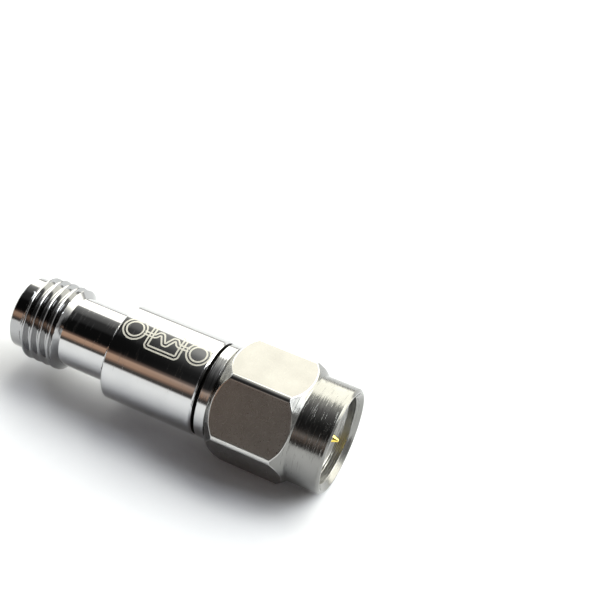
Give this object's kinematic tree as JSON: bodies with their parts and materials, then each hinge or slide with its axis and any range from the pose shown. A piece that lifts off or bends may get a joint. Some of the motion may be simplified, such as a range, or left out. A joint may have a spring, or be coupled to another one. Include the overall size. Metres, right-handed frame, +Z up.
{
  "type": "coaxial fixed attenuator",
  "caption": "Short coaxial fixed attenuator with a threaded socket at one end and a plug with a turning hexagonal nut at the other.",
  "frame": {"origin": "on the axis of the part, at the plug's reference plane, where its outer conductor meets the mating socket", "axes": "+X along the axis, out of the plug's mouth; +Z up, square to one flat of the nut as it lies on the opposite flat"},
  "size_m": [0.0254, 0.009, 0.008],
  "materials": {
    "plated_body": "bright nickel plate on turned brass",
    "nut_steel": "satin passivated stainless steel, turned marks on the skirt",
    "spring_steel": "plain spring steel",
    "gold_plate": "bright gold plate on beryllium copper",
    "insulator_white": "turned fluoropolymer",
    "gasket_silicone": "moulded silicone rubber",
    "carrier_brass": "turned brass",
    "chip_ceramic": "sintered alumina with printed resistors"
  },
  "bodies": {
    "body": {"main_body": "plated_body", "plug_body": "plated_body", "nut_retaining_ring": "spring_steel", "nut_gasket": "gasket_silicone", "plug_insulator": "insulator_white", "plug_centre_pin": "gold_plate", "plug_chip_clip": "gold_plate", "attenuator_chip": "chip_ceramic", "left_ground_spring": "gold_plate", "right_ground_spring": "gold_plate", "upper_chip_carrier": "carrier_brass", "lower_chip_carrier": "carrier_brass", "disc_spring": "spring_steel", "jack_chip_clip": "gold_plate", "jack_centre_contact": "gold_plate", "jack_insulator": "insulator_white"},
    "nut": {"coupling_nut": "nut_steel"}
  },
  "joints": [
    {"name": "nut_turn", "type": "hinge", "parent": "body", "child": "nut", "pos_m": [-0.003, 0, 0], "axis": [1, 0, 0], "continuous": true}
  ]
}
